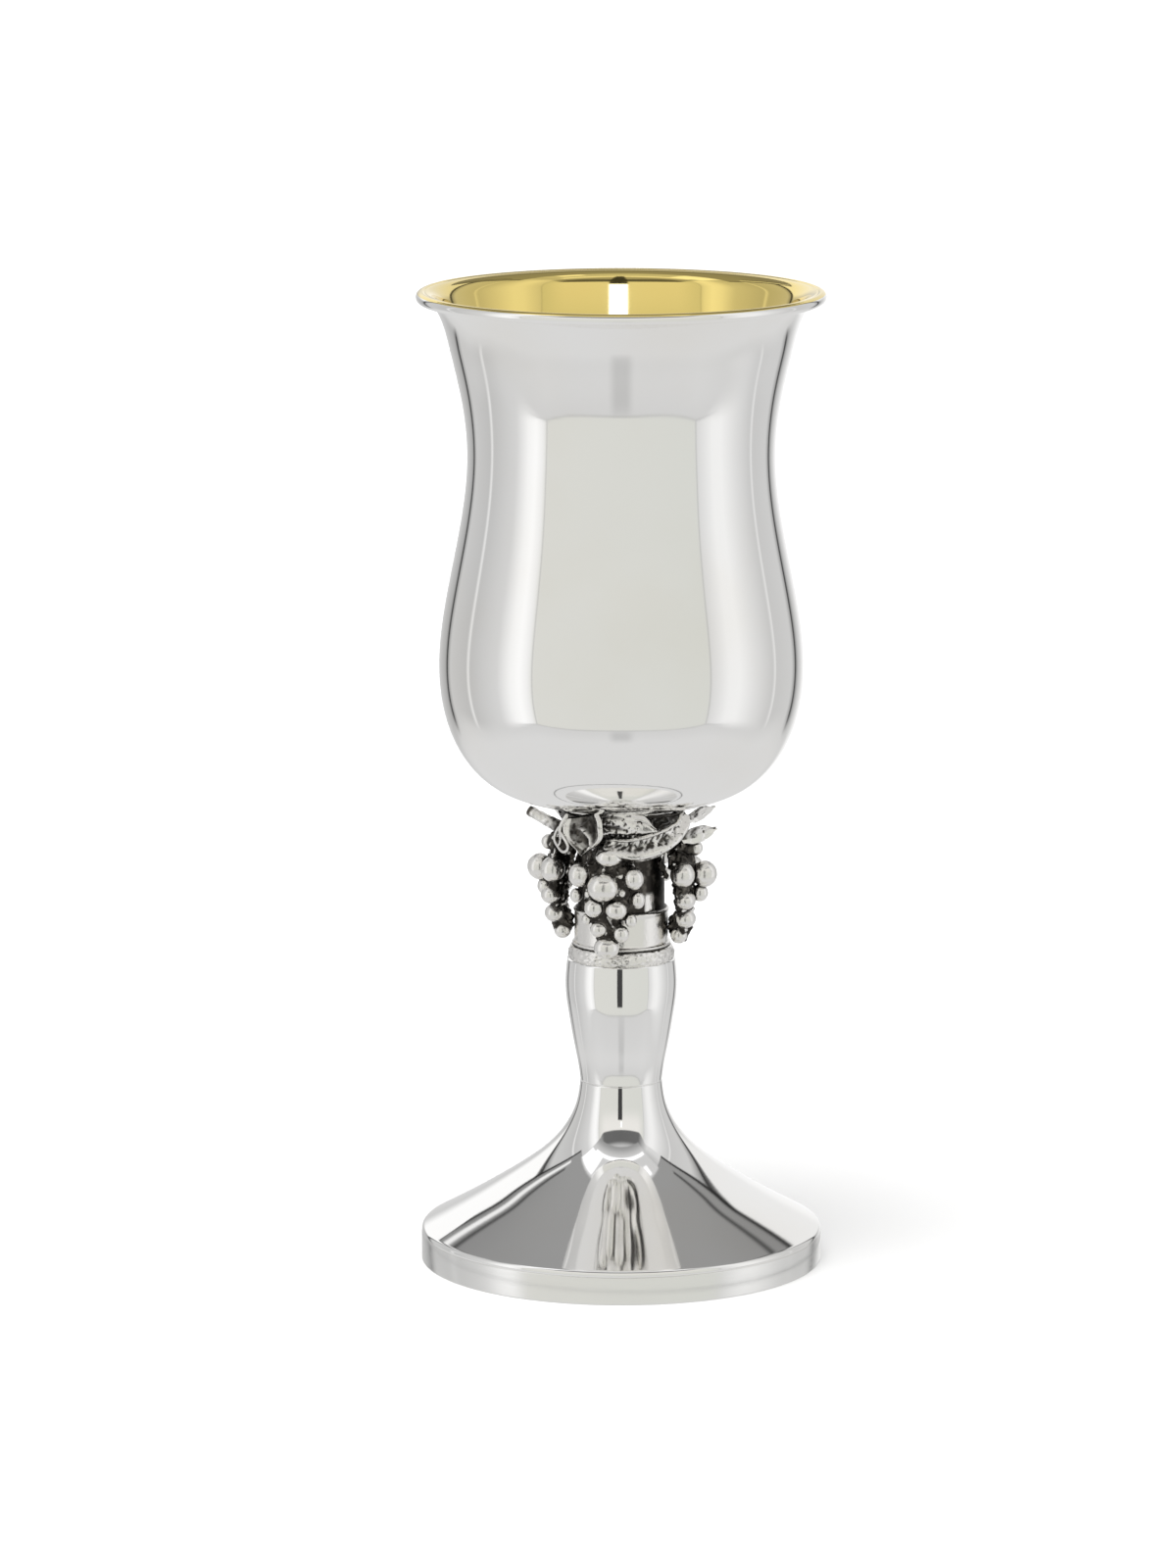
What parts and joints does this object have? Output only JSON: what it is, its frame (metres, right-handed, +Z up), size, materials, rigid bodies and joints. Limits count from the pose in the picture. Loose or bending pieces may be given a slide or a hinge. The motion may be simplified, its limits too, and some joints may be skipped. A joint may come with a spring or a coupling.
{
  "type": "communion chalice",
  "caption": "Silver communion chalice: flared tulip bowl with gilt inside, cast vine and grape knot, baluster stem and round trumpet foot, tied by a hidden rod.",
  "frame": {"origin": "middle of the foot's underside, on the table", "axes": "+Z up along the cup's axis, -Y towards the front bunch of grapes, +X to the right seen from the front"},
  "size_m": [0.0786, 0.0786, 0.19],
  "materials": {
    "silver_polished": "polished sterling silver",
    "silver_oxidised": "cast silver, oxidised dark in the hollows and polished on the high places",
    "steel_tie": "plain turned steel"
  },
  "bodies": {
    "root": {"cup_bowl": "silver_polished", "rim_bead": "silver_polished", "cup_socket": "silver_polished", "cup_seat_ring": "silver_polished", "knot_core": "silver_polished", "vine_collar": "silver_oxidised", "leaf_front_left": "silver_oxidised", "leaf_front_centre": "silver_oxidised", "leaf_front_right": "silver_oxidised", "leaf_right_lower": "silver_oxidised", "leaf_right_upper": "silver_oxidised", "leaf_back_right": "silver_oxidised", "leaf_back_centre": "silver_oxidised", "leaf_back_left": "silver_oxidised", "vine_twig": "silver_oxidised", "tendril_left": "silver_oxidised", "tendril_right": "silver_oxidised", "grapes_front": "silver_oxidised", "grapes_right": "silver_oxidised", "grapes_back": "silver_oxidised", "grapes_left": "silver_oxidised", "knot_base_ring": "silver_oxidised", "stem": "silver_polished", "foot": "silver_polished", "foot_band": "silver_polished", "tie_rod": "steel_tie", "tie_washer": "steel_tie", "tie_nut": "steel_tie"}
  },
  "joints": []
}
